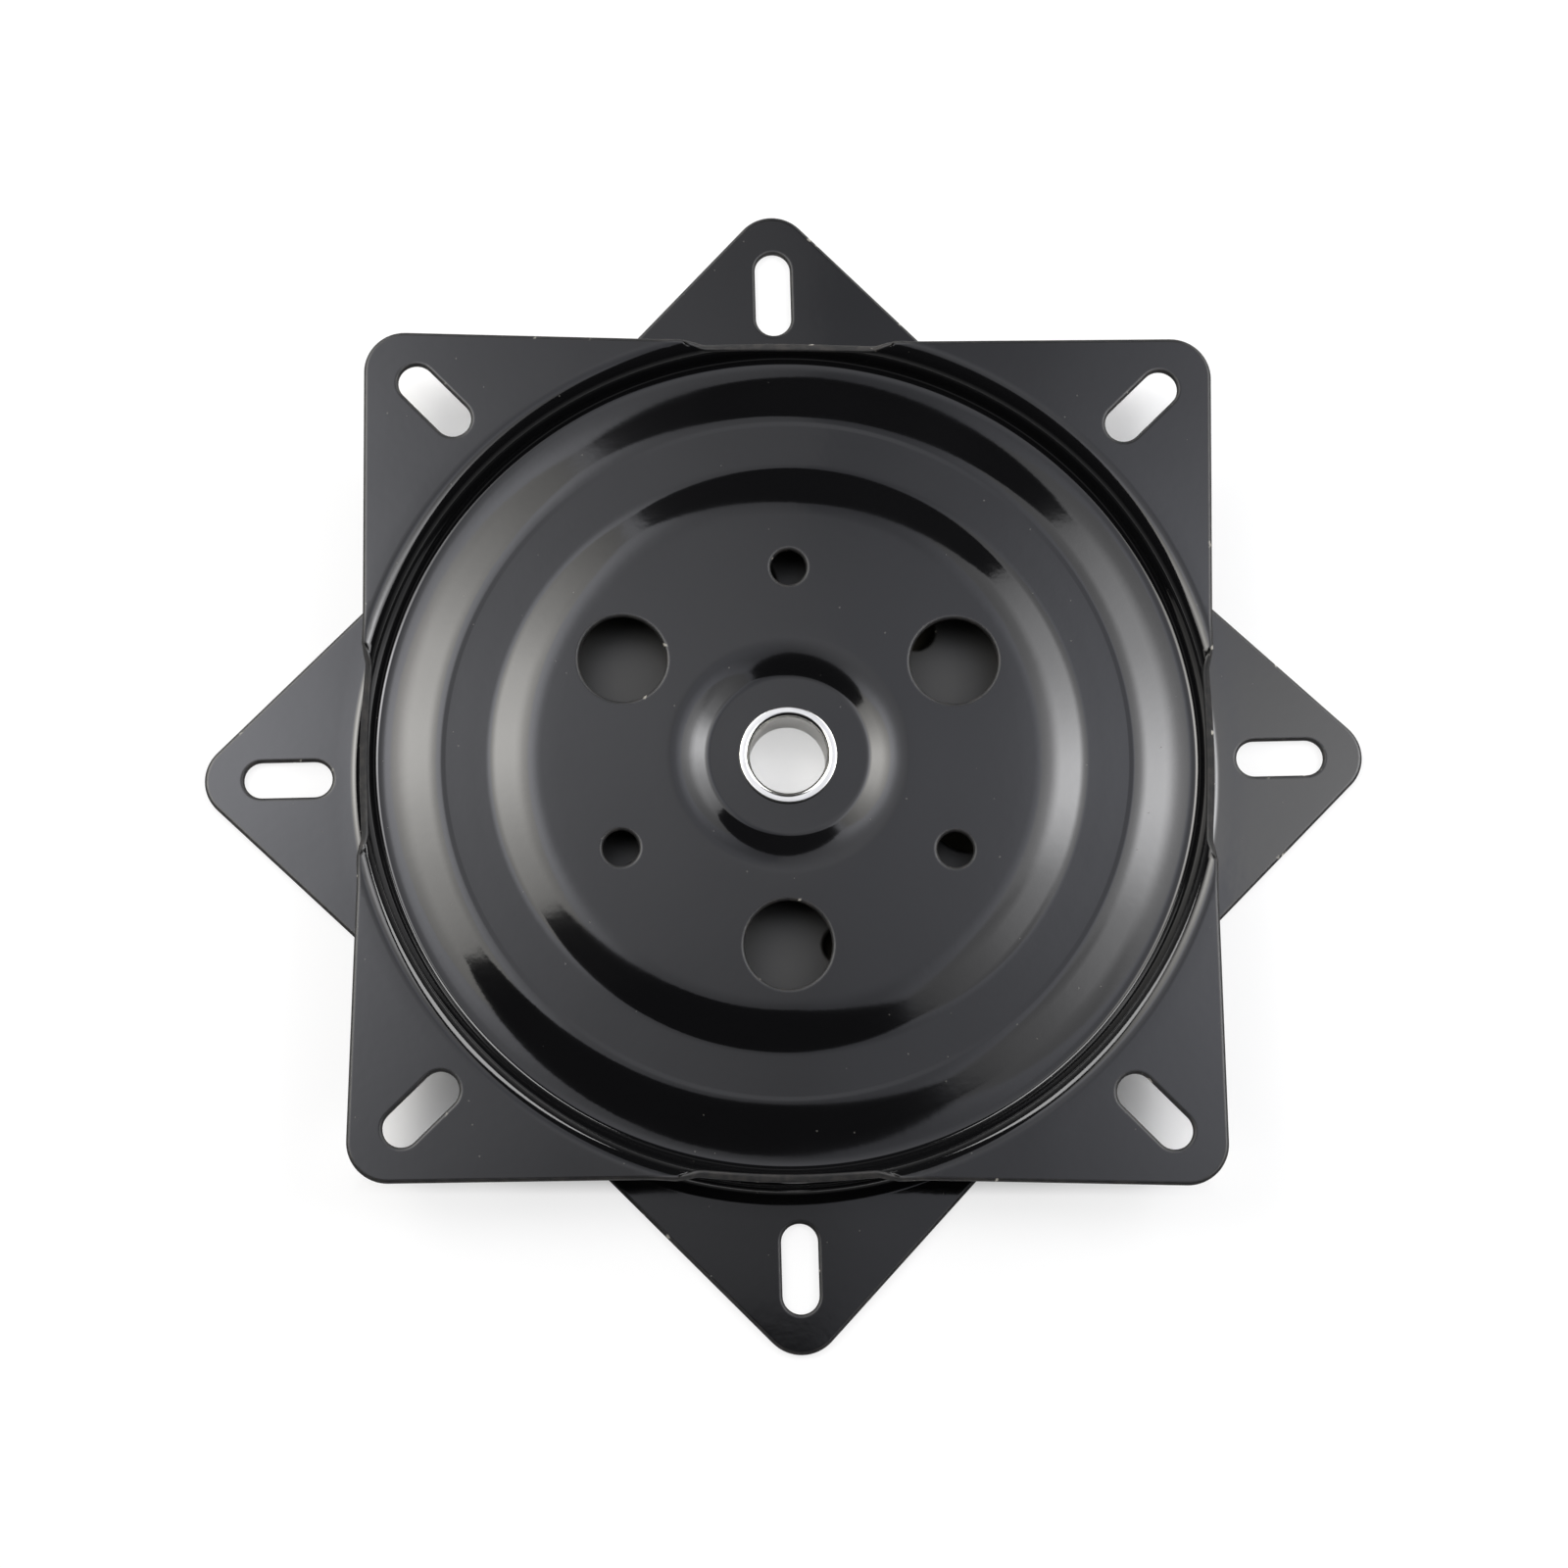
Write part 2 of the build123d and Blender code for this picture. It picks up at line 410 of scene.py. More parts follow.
def pressedRadius(bends, reach):
    # where a point of the flat blank ends up, seen from above
    radius = min(reach, bends[0][0])
    for start, bend, before, after, run in bends:
        past = reach - start
        if past <= 0:
            break
        arc = bend * (after - before)
        radius += bend * (math.sin(before + min(past, arc) / bend) - math.sin(before))
        radius += math.cos(after) * min(max(past - arc, 0.0), run)
    return radius


def blankReach(bends, radius):
    # the other way: how far out on the flat blank a point at this radius comes from
    inner = bends[0][0]
    if radius <= inner:
        return radius
    for start, bend, before, after, run in bends:
        outer = inner + bend * (math.sin(after) - math.sin(before))
        if radius <= outer:
            return start + bend * (math.asin(math.sin(before) + (radius - inner) / bend) - before)
        inner = outer + math.cos(after) * run
        if radius <= inner:
            return start + bend * (after - before) + (radius - outer) / math.cos(after)
    return radius


def outlineLoop(p):
    half = p["side"] / 2
    side = [(half - draw, -reach, bend) for reach, draw, bend in (p["tip"], p["notch"], p["middle"])]
    side += [(half - draw, reach, bend) for reach, draw, bend in (p["notch"], p["tip"])]
    side.append((half, half, p["cornerRadius"]))
    corners = []
    for k in range(4):
        spots = turned([c[:2] for c in side], 90 * k)
        corners += [(x, y, c[2]) for (x, y), c in zip(spots, side)]
    return divided(roundedLoop(corners, p["boundaryStep"]), p["boundaryStep"])


def slotLoop(p, angle):
    radius = p["slotWidth"] / 2
    half = p["slotLength"] / 2 - radius
    loop = arcPoints((p["slotReach"] + half, 0), radius, -90, 90, p["holeStep"])
    loop.append((p["slotReach"] + half, radius))
    loop += arcPoints((p["slotReach"] - half, 0), radius, 90, 270, p["holeStep"])
    loop.append((p["slotReach"] - half, -radius))
    return turned(divided(loop, p["slotStep"]), angle)


def roundHoles(p):
    # every round hole as its centre and radius
    holes = [((0.0, 0.0), p["centreHole"])]
    for angle in p["accessAngles"]:
        holes.append((turned([(p["holeReach"], 0)], angle)[0], p["accessHole"]))
        holes.append((turned([(p["holeReach"], 0)], angle + p["screwTurn"])[0], p["screwHole"]))
    return holes


def cutLoops(p):
    # the blank's outline first, then its holes and slots
    loops = [outlineLoop(p)]
    for centre, radius in roundHoles(p):
        loops.append(arcPoints(centre, radius, 0, 360, min(p["holeStep"], radius / p["holeDivision"])))
    return loops + [slotLoop(p, angle) for angle in p["slotAngles"]]


def makeInside(p, outline):
    # a test for points on the metal, seen from above
    edge = sorted((abs(y), x) for x, y in outline if x > 0 and abs(y) <= x * p["cornerSlack"])
    along = [y for y, x in edge]
    holes = roundHoles(p)
    half = (p["slotLength"] - p["slotWidth"]) / 2

    def inside(x, y):
        far, near = max(abs(x), abs(y)), min(abs(x), abs(y))
        k = min(max(bisect(along, near), 1), len(edge) - 1)
        (y0, x0), (y1, x1) = edge[k - 1], edge[k]
        share = (near - y0) / (y1 - y0) if y1 > y0 else 0.0
        if far > x0 + (x1 - x0) * share:
            return False
        for centre, radius in holes:
            if math.hypot(x - centre[0], y - centre[1]) < radius:
                return False
        for angle in p["slotAngles"]:
            u, v = turned([(x, y)], -angle)[0]
            if math.hypot(max(0.0, abs(u - p["slotReach"]) - half), v) < p["slotWidth"] / 2:
                return False
        return True

    return inside


def ringReaches(p, bends):
    # rows of points across the sheet: close in the bends, wide on the flats
    reaches = []
    at = p["centreHole"]
    for start, bend, before, after, run in bends:
        rows = max(1, round((start - at) / p["flatStep"]))
        reaches += [at + (start - at) * k / rows for k in range(rows)]
        turn = abs(math.degrees(after - before))
        rows = math.ceil(turn / (p["steepAngle"] if turn > p["steepTurn"] else p["bendAngle"]))
        at = start + bend * (after - before)
        reaches += [start + (at - start) * k / rows for k in range(rows)]
    limit = p["side"] * p["reachShare"]
    while at < limit:
        reaches.append(at)
        at += p["flatStep"]
    return reaches


def ringSpots(p, bends, inside, rim):
    # rings of points on the metal, clear of its cut edges
    spots = []
    for reach in ringReaches(p, bends):
        radius = pressedRadius(bends, reach)
        count = p["ringPoints"] if reach > p["innerReach"] else p["ringPoints"] // 2
        for k in range(count):
            c, s = math.cos(2 * math.pi * k / count), math.sin(2 * math.pi * k / count)
            if not inside(radius * c, radius * s):
                continue
            if rim.find((reach * c, reach * s, 0))[2] > p["ringRoom"]:
                spots.append((reach * c, reach * s))
    return spots


def blankMesh(verts, faces):
    mesh = bpy.data.meshes.new("flatBlank")
    mesh.from_pydata([(v.x * mm, v.y * mm, 0) for v in verts], [], faces)
    shaper = bmesh.new()
    shaper.from_mesh(mesh)
    bmesh.ops.delete(shaper, geom=[v for v in shaper.verts if not v.link_faces], context="VERTS")
    edgeMark = shaper.verts.layers.float.new("edge")  # read by the enamel
    for vert in shaper.verts:
        vert[edgeMark] = 1.0 if vert.is_boundary else 0.0
    for face in shaper.faces:
        if face.normal.z < 0:
            face.normal_flip()
        face.smooth = True
    shaper.to_mesh(mesh)
    shaper.free()
    return mesh


def flatBlank(p):
    bends = profileBends(p)
    loops = cutLoops(p)
    inside = makeInside(p, loops[0])
    points, edges, insets = [], [], []
    for number, loop in enumerate(loops):
        flat = []
        for x, y in loop:
            radius = math.hypot(x, y)
            reach = blankReach(bends, radius)
            flat.append((x * reach / radius, y * reach / radius))
        first = len(points)
        points += flat
        edges += [(first + k, first + (k + 1) % len(flat)) for k in range(len(flat))]
        insets += insetLoop(flat, p["edgeRoom"] if number == 0 else -p["edgeRoom"])
    rim = KDTree(len(points))
    for k, (x, y) in enumerate(points):
        rim.insert((x, y, 0), k)
    rim.balance()
    points += insets + ringSpots(p, bends, inside, rim)
    made = delaunay_2d_cdt([Vector(q) for q in points], edges, [], 0, p["mergeGap"])
    verts, faces = made[0], made[2]
    kept = []
    for face in faces:
        middle = sum((verts[i] for i in face), Vector((0, 0))) / len(face)
        share = pressedRadius(bends, middle.length) / middle.length
        if inside(middle.x * share, middle.y * share):
            kept.append(face)
    return blankMesh(verts, kept)


bendParts = ("Start", "Radius", "Angle Before", "Angle After", "Run")


def pressTree(p):
    # draws the flat blank over the ring profile: every bend moves what lies past it in and up or down
    bendNumbers = range(1, len(p["profile"]) + 1)
    inputs = {"Geometry": "Geometry", "Land Depth": "Float"}
    inputs.update({f"Bend {k} {part}": "Float" for k in bendNumbers for part in bendParts})
    tree, sockets = newTree("pressRings", inputs | {"Paint": "Material"})
    given = addNode(tree, "NodeGroupInput").outputs
    spot = addNode(tree, "GeometryNodeInputPosition").outputs[0]
    reach = addNode(tree, "ShaderNodeVectorMath", {0: spot}, operation="LENGTH").outputs["Value"]
    land = addNode(tree, "ShaderNodeMath", {
        0: reach, 1: given["Bend 1 Start"]}, operation="MINIMUM").outputs[0]
    sunk = addNode(tree, "ShaderNodeMath", {
        0: given["Land Depth"], 1: -1.0}, operation="MULTIPLY").outputs[0]
    at = {"radius": land, "height": sunk}
    for k in bendNumbers:
        start, bend, before, after, run = (given[f"Bend {k} {part}"] for part in bendParts)
        past = addNode(tree, "ShaderNodeMath", {0: reach, 1: start}, operation="SUBTRACT").outputs[0]
        past = addNode(tree, "ShaderNodeMath", {0: past, 1: 0.0}, operation="MAXIMUM").outputs[0]
        turn = addNode(tree, "ShaderNodeMath", {0: after, 1: before}, operation="SUBTRACT").outputs[0]
        arc = addNode(tree, "ShaderNodeMath", {0: bend, 1: turn}, operation="MULTIPLY").outputs[0]
        within = addNode(tree, "ShaderNodeMath", {0: past, 1: arc}, operation="MINIMUM").outputs[0]
        left = addNode(tree, "ShaderNodeMath", {0: past, 1: within}, operation="SUBTRACT").outputs[0]
        straight = addNode(tree, "ShaderNodeMath", {0: left, 1: run}, operation="MINIMUM").outputs[0]
        swung = addNode(tree, "ShaderNodeMath", {0: within, 1: bend}, operation="DIVIDE").outputs[0]
        angle = addNode(tree, "ShaderNodeMath", {0: before, 1: swung}, operation="ADD").outputs[0]
        # round the bend, out by the change of sine and up by that of cosine, then along the straight run
        for way, wave, other, sign in (("radius", "SINE", "COSINE", 1.0), ("height", "COSINE", "SINE", -1.0)):
            first = addNode(tree, "ShaderNodeMath", {0: before}, operation=wave).outputs[0]
            final = addNode(tree, "ShaderNodeMath", {0: angle}, operation=wave).outputs[0]
            change = addNode(tree, "ShaderNodeMath", {0: final, 1: first}, operation="SUBTRACT").outputs[0]
            change = addNode(tree, "ShaderNodeMath", {0: change, 1: sign}, operation="MULTIPLY").outputs[0]
            bent = addNode(tree, "ShaderNodeMath", {
                0: bend, 1: change, 2: at[way]}, operation="MULTIPLY_ADD").outputs[0]
            slant = addNode(tree, "ShaderNodeMath", {0: after}, operation=other).outputs[0]
            at[way] = addNode(tree, "ShaderNodeMath", {
                0: slant, 1: straight, 2: bent}, operation="MULTIPLY_ADD").outputs[0]
    share = addNode(tree, "ShaderNodeMath", {0: at["radius"], 1: reach}, operation="DIVIDE").outputs[0]
    drawn = addNode(tree, "ShaderNodeVectorMath", {0: spot, "Scale": share}, operation="SCALE").outputs[0]
    lift = addNode(tree, "ShaderNodeCombineXYZ", {"Z": at["height"]}).outputs[0]
    pressed = addNode(tree, "GeometryNodeSetPosition", {
        "Geometry": given["Geometry"], "Position": drawn, "Offset": lift}).outputs[0]
    real = addNode(tree, "GeometryNodeRealizeInstances", {"Geometry": pressed}).outputs[0]
    painted = addNode(tree, "GeometryNodeSetMaterial", {
        "Geometry": real, "Material": given["Paint"]}).outputs[0]
    addNode(tree, "NodeGroupOutput", {"Geometry": painted})
    return tree, sockets


def pressedPlate(p, blank, name):
    piece = newObject(name, blank.copy())
    values = {"Land Depth": p["profile"][0][1] * mm, "Paint": blackEnamel}
    for k, bend in enumerate(profileBends(p), start=1):
        for part, value in zip(bendParts, bend):
            values[f"Bend {k} {part}"] = value if part.startswith("Angle") else value * mm
    tree, sockets = pressTree(p)
    applyTree(piece, "press", tree, sockets, values)
    skin = piece.modifiers.new("sheet", "SOLIDIFY")
    skin.thickness = p["sheet"] * mm
    skin.offset = -1.0
    rounded = piece.modifiers.new("edges", "BEVEL")
    rounded.width = p["edgeRound"] * mm
    rounded.segments = p["edgeSteps"]
    rounded.limit_method = "ANGLE"
    rounded.angle_limit = math.radians(p["edgeAngle"])
    bakeModifiers(piece)
    piece.data.shade_smooth()
    # the side that faces the other plate, inside the dish, read by the enamel
    shelter = piece.data.attributes.new("shelter", "FLOAT", "POINT")
    for vert in piece.data.vertices:
        looksDown = vert.normal.z < p["shelterFacing"]
        if looksDown and math.hypot(vert.co.x, vert.co.y) < p["shelterReach"] * mm:
            shelter.data[vert.index].value = 1.0
    return piece


blank = flatBlank(plate)
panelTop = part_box("top_plate")[1].z
topPlate = pressedPlate(plate, blank, "topPlate")
topPlate.data.transform(
    Matrix.Translation((0, 0, panelTop)) @ Matrix.Rotation(math.radians(seatRestTurn), 4, "Z"))
bottomPlate = pressedPlate(plate, blank, "bottomPlate")
bottomPlate.data.transform(
    Matrix.Rotation(math.radians(baseRestTurn), 4, "Z") @ Matrix.Rotation(math.pi, 4, "Y"))
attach(topPlate, "seat")
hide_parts("top_plate")
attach(bottomPlate, "base")
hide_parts("bottom_plate")
print("plates pressed:", len(topPlate.data.polygons), "faces each")


# turned pieces: a rounded section swung round the axis

creaseAngle = 40  # an edge sharper than this stays a crease, degrees


def lathe(name, corners, step, count, material):
    section = roundedLoop(corners, step)
    shaper = bmesh.new()
    rings = []
    for k in range(count):
        angle = 2 * math.pi * k / count
        c, s = math.cos(angle), math.sin(angle)
        rings.append([shaper.verts.new((r * c * mm, r * s * mm, z * mm)) for r, z in section])
    for k in range(count):
        ring, following = rings[k], rings[(k + 1) % count]
        for i in range(len(section)):
            j = (i + 1) % len(section)
            shaper.faces.new((ring[i], following[i], following[j], ring[j]))
    bmesh.ops.recalc_face_normals(shaper, faces=shaper.faces)
    mesh = bpy.data.meshes.new(name)
    shaper.to_mesh(mesh)
    shaper.free()
    mesh.shade_smooth()
    mesh.set_sharp_from_angle(angle=math.radians(creaseAngle))
    mesh.materials.append(material)
    return newObject(name, mesh)


rivet = dict(
    bore=9.0, shank=10.2, head=11.5, headThickness=0.9,
    lip=1.274, rim=0.35, corner=0.12,  # bends: into the bore, round the head, and the rest
    step=0.1, sides=160,
)


def makeRivet(v):
    low, high = (c.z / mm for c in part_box("centre_rivet"))
    rollTop, headBottom = low + v["headThickness"], high - v["headThickness"]
    return lathe("hollowRivet", [
        (v["bore"], low, v["lip"]),
        (v["head"], low, v["rim"]),
        (v["head"], rollTop, v["corner"]),
        (v["shank"], rollTop, v["corner"]),
        (v["shank"], headBottom, v["corner"]),
        (v["head"], headBottom, v["corner"]),
        (v["head"], high, v["rim"]),
        (v["bore"], high, v["lip"]),
    ], v["step"], v["sides"], brightZinc)


hollowRivet = makeRivet(rivet)
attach(hollowRivet, "base")
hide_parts("centre_rivet")


def makeBand(name, node, inside, outside, v):
    # a moulded ring with rounded edges, as high as its node
    low, high = (c.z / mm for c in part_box(node))
    spots = [(inside, low), (outside, low), (outside, high), (inside, high)]
    return lathe(name, [(r, z, v["edge"]) for r, z in spots], v["step"], v["sides"], nylon)


spacer = dict(inside=10.28, outside=15.7, edge=0.4, step=0.15, sides=96)
spacerWasher = makeBand("spacerWasher", "spacer_washer", spacer["inside"], spacer["outside"], spacer)
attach(spacerWasher, "base")
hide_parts("spacer_washer")
print("rivet and spacer turned")


# balls and their cage

race = dict(count=16, circle=76.5, ball=4.0, segments=40, rings=24)
cage = dict(pocket=4.2, width=13.0, edge=0.5, step=0.2, sides=256)


def ballTree(v):
    # balls set evenly on a circle
    tree, sockets = newTree("ringOfBalls", {
        "Count": "Int", "Circle": "Float", "Ball": "Float", "Height": "Float", "Steel": "Material"})
    given = addNode(tree, "NodeGroupInput").outputs
    ring = addNode(tree, "GeometryNodeMeshCircle", {
        "Vertices": given["Count"], "Radius": given["Circle"]}).outputs[0]
    ball = addNode(tree, "GeometryNodeMeshUVSphere", {
        "Segments": v["segments"], "Rings": v["rings"], "Radius": given["Ball"]}).outputs[0]
    ball = addNode(tree, "GeometryNodeSetShadeSmooth", {"Geometry": ball}).outputs[0]
    balls = addNode(tree, "GeometryNodeInstanceOnPoints", {"Points": ring, "Instance": ball}).outputs[0]
    lift = addNode(tree, "ShaderNodeCombineXYZ", {"Z": given["Height"]}).outputs[0]
    raised = addNode(tree, "GeometryNodeTransform", {"Geometry": balls, "Translation": lift}).outputs[0]
    real = addNode(tree, "GeometryNodeRealizeInstances", {"Geometry": raised}).outputs[0]
    done = addNode(tree, "GeometryNodeSetMaterial", {"Geometry": real, "Material": given["Steel"]}).outputs[0]
    addNode(tree, "NodeGroupOutput", {"Geometry": done})
    return tree, sockets


def ringOfBalls(name, v, radius, height, material):
    piece = newObject(name, bpy.data.meshes.new(name))
    tree, sockets = ballTree(v)
    applyTree(piece, "balls", tree, sockets, {
        "Count": v["count"], "Circle": v["circle"] * mm, "Ball": radius * mm,
        "Height": height, "Steel": material})
    return bakeModifiers(piece)


def makeCage(v, c, height):
    # moulded band with a round pocket for each ball
    half = c["width"] / 2
    piece = makeBand("ballCage", "ball_cage", v["circle"] - half, v["circle"] + half, c)
    pockets = ringOfBalls("pocketShape", v, c["pocket"], height, nylon)
    cut = piece.modifiers.new("pockets", "BOOLEAN")
    cut.operation = "DIFFERENCE"
    cut.solver = "EXACT"
    cut.object = pockets
    bakeModifiers(piece)
    bpy.data.objects.remove(pockets)
    piece.data.set_sharp_from_angle(angle=math.radians(creaseAngle))
    return piece


def middleHeight(node):
    low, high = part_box(node)
    return (low.z + high.z) / 2


ballNodes = [f"ball_{n:02d}" for n in range(1, race["count"] + 1)]
raceBalls = ringOfBalls("raceBalls", race, race["ball"], middleHeight(ballNodes[0]), ballSteel)
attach(raceBalls, "ball_ring")
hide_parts(*ballNodes)
ballCage = makeCage(race, cage, middleHeight("ball_cage"))
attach(ballCage, "ball_ring")
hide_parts("ball_cage")
print("balls and cage made:", len(raceBalls.data.polygons), "and", len(ballCage.data.polygons), "faces")


# stage: pale floor, soft window light west and east, a weak bounce between them, black cloth round them

stageSetup = dict(
    white="#ffffff",
    floorSize=8.0, floorDrop=0.0002,  # metres, just clear of the plate's face
    floorColour="#fbfbfb",
    cardHeight=0.9, clothRise=0.05,  # metres, and the cloth over the cards
    surround=0.35,  # the world's own light on the set
    clothReach=88.0, clothGlow=(68, 84, 0.28),  # greys towards the horizon, degrees off the zenith
    # each card's level across (west to east) and along (south to north), by degrees off the zenith
    cards=dict(
        westWindow=dict(
            gain=10.4, colour="#fffdf9", far=(47.0, 38.0),
            across=[
                (-50, 0.3), (-36, 1.0), (-33, 0.9), (-31, 0.79),
                (-27, 0.66), (-22.5, 0.48), (-18.3, 0.38)],
            along=[(-6.6, 0.42), (2, 0.6), (11, 0.97), (14.5, 1.0), (22, 0.84), (28, 0.55), (40, 0.2)]),
        westBounce=dict(
            gain=4.0, colour="#f7f8ff", far=(38.0, 29.5),
            across=[(-18.3, 1.0), (-15.5, 0.92), (-12.5, 0.7), (-9, 0.45), (-5, 0.33), (2.7, 0.24)],
            along=[(-6.4, 0.4), (0, 0.6), (6, 0.81), (12, 1.0), (17, 0.88), (22, 0.74), (40.5, 0.36)]),
        eastBounce=dict(
            gain=2.25, colour="#f3f5ff", near=(-7.0, -17.5), far=(29.5, 31.5),
            across=[(2.7, 0.42), (8, 0.49), (12, 0.75), (15.5, 1.0)],
            along=[(-19, 0.42), (-6, 0.55), (6, 0.88), (11, 1.0), (17, 0.85), (22, 0.6), (31, 0.38)]),
        eastWindow=dict(
            gain=12.0, colour="#fdfdff", near=(-17.5, -10.0), far=(31.5, 37.0),
            across=[
                (15.5, 0.19), (19, 0.22), (23.6, 0.29), (27, 0.45),
                (29.6, 0.59), (33, 0.78), (37, 1.0), (50, 0.3)],
            along=[
                (-19, 0.3), (-2, 0.42), (3, 0.8), (7.5, 1.0),
                (12, 0.95), (17, 0.7), (22, 0.5), (34, 0.3)]),
        northWest=dict(
            gain=6.0, colour="#ffffff",
            across=[(-62, 1.0), (-28, 1.0)],
            along=[(48, 1.0), (64, 1.0)]),
        northEast=dict(
            gain=6.0, colour="#ffffff",
            across=[(33, 1.0), (62, 1.0)],
            along=[(42, 1.0), (62, 1.0)]),
    ),
    # share of its own glow that the floor shows the camera, from one distance to another in mm:
    # down the bore, outside the upper plate's square, and far off
    floorGlow=dict(
        bore=(12.0, 16.0, 0.5, 0.0),
        square=(94.0, 101.0, 0.0, 0.75),
        far=(250.0, 800.0, 0.0, 0.25),
    ),
    # painted shadow: under the dish the floor's colour goes to this dark olive, standing in for the plates'
    # shade
    floorShade=dict(colour="#4c4a40", inner=(14.0, 20.0), outer=(88.0, 98.0)),  # under the dish
)


def slopeOf(degrees):
    return math.tan(math.radians(degrees))


def makeSheet(name, sides, near, far, height, material):
    # a level sheet over the set, by degrees off the zenith: its two sides, and each end at those sides
    corners = [(sides[0], near[0]), (sides[1], near[1]), (sides[1], far[1]), (sides[0], far[0])]
    spots = [(slopeOf(x) * height, slopeOf(y) * height, height) for x, y in corners]
    mesh = bpy.data.meshes.new(name)
    mesh.from_pydata(spots, [], [(0, 3, 2, 1)])
    mesh.materials.append(material)
    sheet = newObject(name, mesh)
    sheet.rotation_euler.z = math.radians(cameraSetup["restTurn"])
    sheet.visible_camera = False
    return sheet


def cardMaterial(name, card, height):
    material, tree = newMaterial(name)
    place = addNode(tree, "ShaderNodeTexCoord").outputs["Object"]
    spot = addNode(tree, "ShaderNodeSeparateXYZ", {0: place}).outputs
    level = card["gain"]
    for axis, stops in (("X", card["across"]), ("Y", card["along"])):
        slope = addNode(tree, "ShaderNodeMath", {0: spot[axis], 1: height}, operation="DIVIDE").outputs[0]
        angle = addNode(tree, "ShaderNodeMath", {0: slope}, operation="ARCTANGENT").outputs[0]
        first, last = stops[0][0], stops[-1][0]
        share = addNode(tree, "ShaderNodeMapRange", {
            "Value": angle, "From Min": math.radians(first), "From Max": math.radians(last)}).outputs[0]
        ramp = addNode(tree, "ShaderNodeValToRGB", {"Fac": share})
        band = ramp.color_ramp.elements
        for degrees, value in stops:
            atEnd = {first: band[0], last: band[-1]}
            element = atEnd.get(degrees) or band.new((degrees - first) / (last - first))
            element.color = (value, value, value, 1.0)
        level = addNode(tree, "ShaderNodeMath", {
            0: ramp.outputs["Color"], 1: level}, operation="MULTIPLY").outputs[0]
    glow = addNode(tree, "ShaderNodeEmission", {
        "Color": linear(card["colour"]), "Strength": level}).outputs[0]
    addNode(tree, "ShaderNodeOutputMaterial", {"Surface": glow})
    return material


def makeCloth(s):
    # black cloth over everything, which only reflections see
    material, tree = newMaterial("blackCloth")
    place = addNode(tree, "ShaderNodeTexCoord").outputs["Object"]
    way = addNode(tree, "ShaderNodeVectorMath", {0: place}, operation="NORMALIZE").outputs[0]
    rise = addNode(tree, "ShaderNodeSeparateXYZ", {0: way}).outputs["Z"]
    start, end, level = s["clothGlow"]
    glow = addNode(tree, "ShaderNodeMapRange", {
        "Value": rise, "From Min": math.cos(math.radians(start)), "From Max": math.cos(math.radians(end)),
        "To Min": 0.0, "To Max": level}).outputs[0]
    dim = addNode(tree, "ShaderNodeEmission", {"Color": linear(s["white"]), "Strength": glow}).outputs[0]
    addNode(tree, "ShaderNodeOutputMaterial", {"Surface": dim})
    reach = s["clothReach"]
    near, far = (-reach, -reach), (reach, reach)
    cloth = makeSheet("blackCloth", (-reach, reach), near, far, s["cardHeight"] + s["clothRise"], material)
    cloth.visible_diffuse = False
    cloth.visible_shadow = False


def makeStage(s):
    height = s["cardHeight"]
    for name, card in s["cards"].items():
        across, along = card["across"], card["along"]
        material = cardMaterial(name + "Glow", card, height)
        near = card.get("near", (along[0][0], along[0][0]))
        far = card.get("far", (along[-1][0], along[-1][0]))
        makeSheet(name, (across[0][0], across[-1][0]), near, far, height, material)
    makeCloth(s)


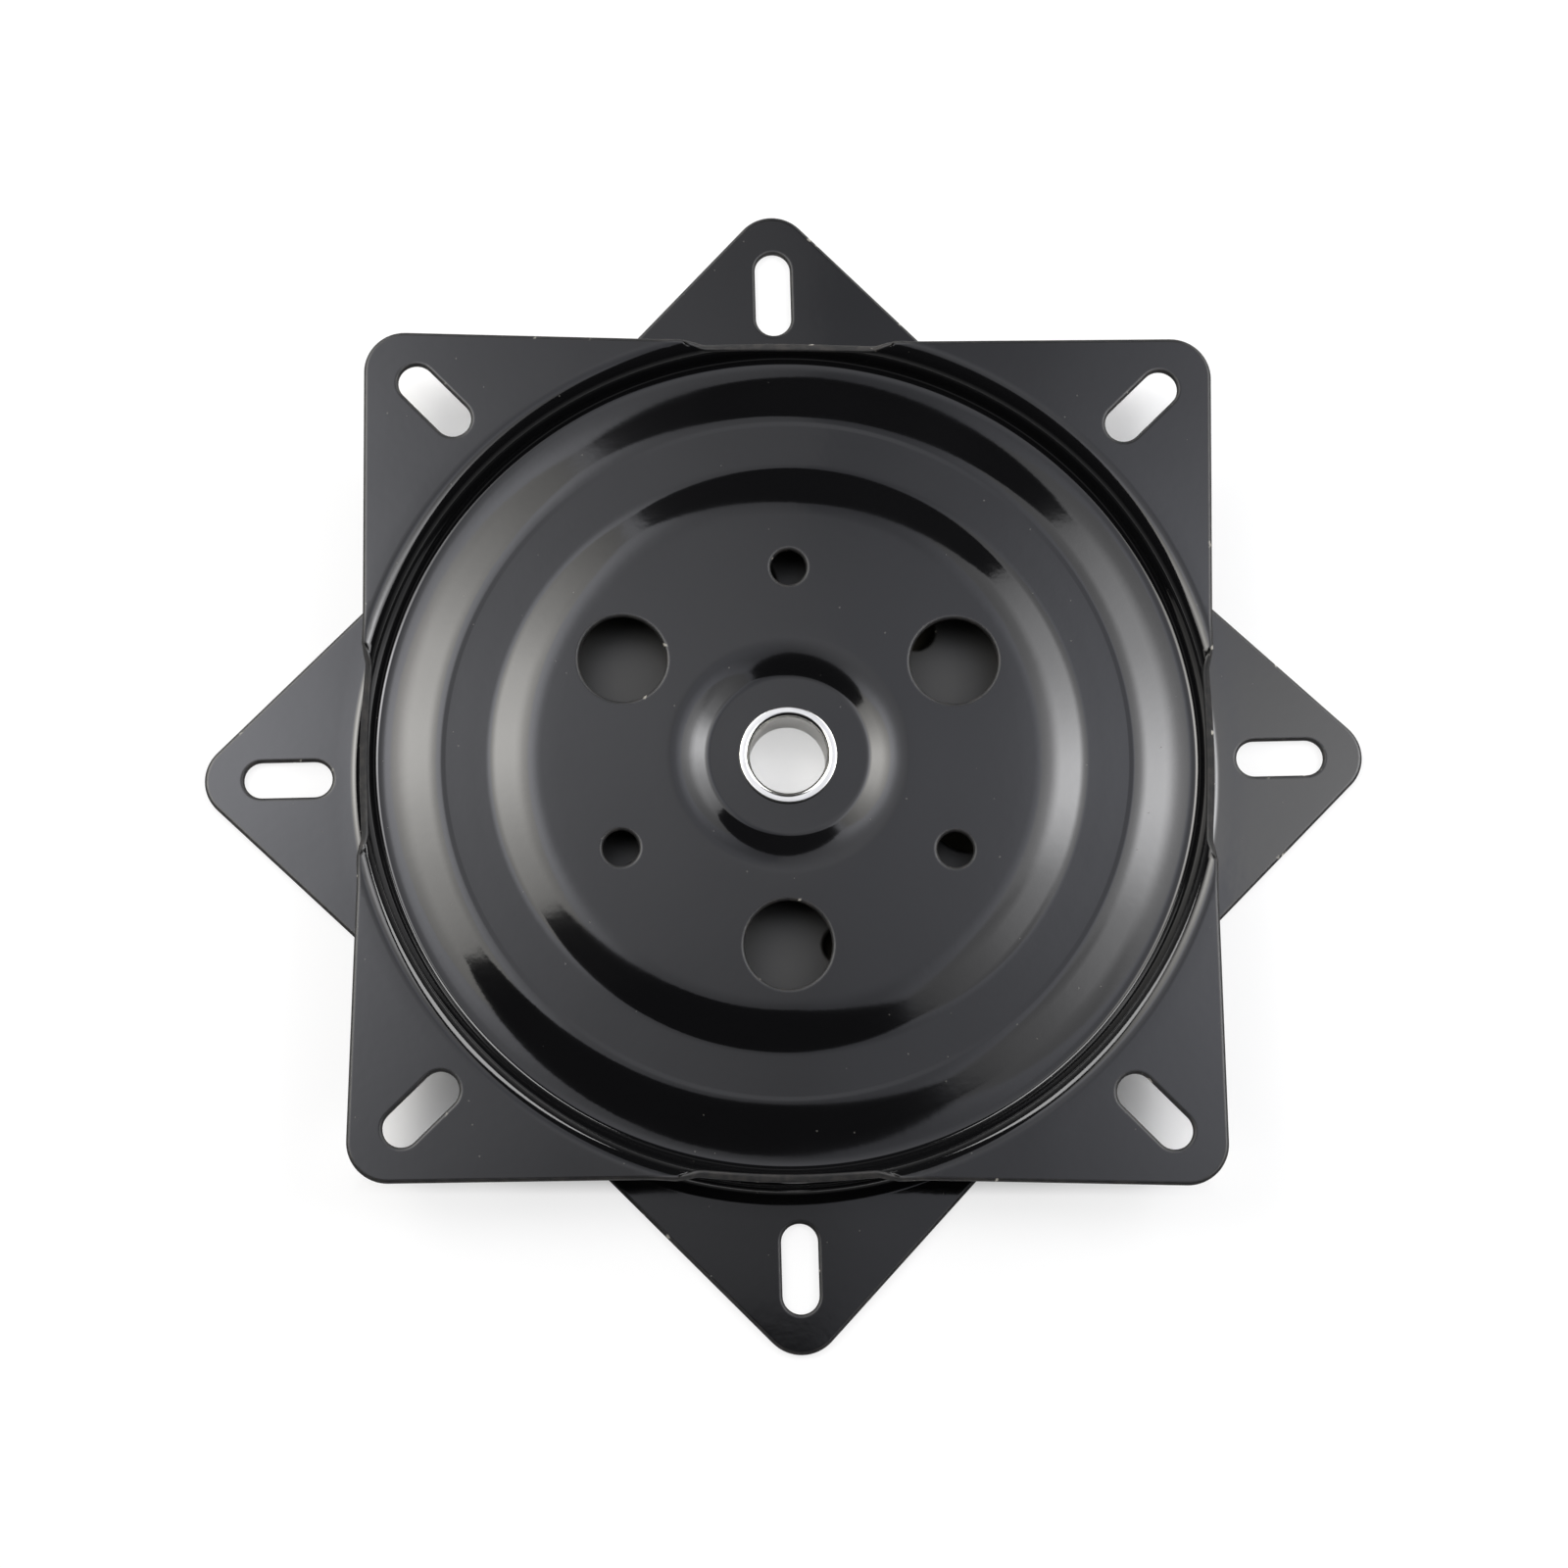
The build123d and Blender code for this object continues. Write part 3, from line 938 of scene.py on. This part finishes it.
def floorMaterial(s):
    # matt pale paint with a painted shadow (a darker colour under the dish), and some glow of its own that
    # only the camera sees
    material, tree = newMaterial("paleStudioFloor")
    place = addNode(tree, "ShaderNodeTexCoord").outputs["Object"]
    radius = addNode(tree, "ShaderNodeVectorMath", {0: place}, operation="LENGTH").outputs["Value"]
    straight = addNode(tree, "ShaderNodeMapping", {
        "Vector": place, "Rotation": (0.0, 0.0, math.radians(-seatRestTurn))}).outputs[0]
    straight = addNode(tree, "ShaderNodeVectorMath", {0: straight}, operation="ABSOLUTE").outputs[0]
    sides = addNode(tree, "ShaderNodeSeparateXYZ", {0: straight}).outputs
    reach = addNode(tree, "ShaderNodeMath", {0: sides["X"], 1: sides["Y"]}, operation="MAXIMUM").outputs[0]
    glowShare = 0.0
    for name, distance in (("bore", radius), ("square", reach), ("far", radius)):
        start, end, before, after = s["floorGlow"][name]
        part = addNode(tree, "ShaderNodeMapRange", {
            "Value": distance, "From Min": start * mm, "From Max": end * mm,
            "To Min": before, "To Max": after}).outputs[0]
        glowShare = addNode(tree, "ShaderNodeMath", {0: glowShare, 1: part}, operation="ADD").outputs[0]
    # painted shadow: between these radii the floor's colour is darkened under the dish, standing in for the
    # plates' shade
    under = 0.0
    shade = s["floorShade"]
    for (start, end), operation in ((shade["inner"], "ADD"), (shade["outer"], "SUBTRACT")):
        part = addNode(tree, "ShaderNodeMapRange", {
            "Value": radius, "From Min": start * mm, "From Max": end * mm}).outputs[0]
        under = addNode(tree, "ShaderNodeMath", {0: under, 1: part}, operation=operation).outputs[0]
    pale, dark = linear(s["floorColour"]), linear(shade["colour"])
    colour = addNode(tree, "ShaderNodeMix", {"Factor": under, 6: pale, 7: dark}, data_type="RGBA").outputs[2]
    seen = addNode(tree, "ShaderNodeLightPath").outputs["Is Camera Ray"]
    share = addNode(tree, "ShaderNodeMath", {0: seen, 1: glowShare}, operation="MULTIPLY").outputs[0]
    matt = addNode(tree, "ShaderNodeBsdfDiffuse", {"Color": colour}).outputs[0]
    glow = addNode(tree, "ShaderNodeEmission", {"Color": linear(s["white"]), "Strength": 1.0}).outputs[0]
    mixed = addNode(tree, "ShaderNodeMixShader", {0: share, 1: matt, 2: glow}).outputs[0]
    addNode(tree, "ShaderNodeOutputMaterial", {"Surface": mixed})
    return material


def makeFloor(s):
    half, low = s["floorSize"] / 2, -s["floorDrop"]
    corners = [(-half, -half, low), (half, -half, low), (half, half, low), (-half, half, low)]
    mesh = bpy.data.meshes.new("studioFloor")
    mesh.from_pydata(corners, [], [(0, 1, 2, 3)])
    mesh.materials.append(floorMaterial(s))
    newObject("studioFloor", mesh)


def makeWorld(s):
    # white where it is seen, directly or in a reflection, and dimmer as light on the set
    world = bpy.data.worlds.new("whiteSurround")
    scene.world = world
    world.use_nodes = True
    tree = world.node_tree
    tree.nodes.clear()
    path = addNode(tree, "ShaderNodeLightPath").outputs
    shown = path["Is Camera Ray"]
    for ray in ("Is Glossy Ray", "Is Transmission Ray"):
        shown = addNode(tree, "ShaderNodeMath", {0: shown, 1: path[ray]}, operation="MAXIMUM").outputs[0]
    level = addNode(tree, "ShaderNodeMapRange", {
        "Value": shown, "To Min": s["surround"], "To Max": 1.0}).outputs[0]
    sky = addNode(tree, "ShaderNodeBackground", {"Color": linear(s["white"]), "Strength": level}).outputs[0]
    addNode(tree, "ShaderNodeOutputWorld", {"Surface": sky})


makeFloor(stageSetup)
makeStage(stageSetup)
makeWorld(stageSetup)
scene.view_settings.view_transform = "Standard"
print("stage lit")
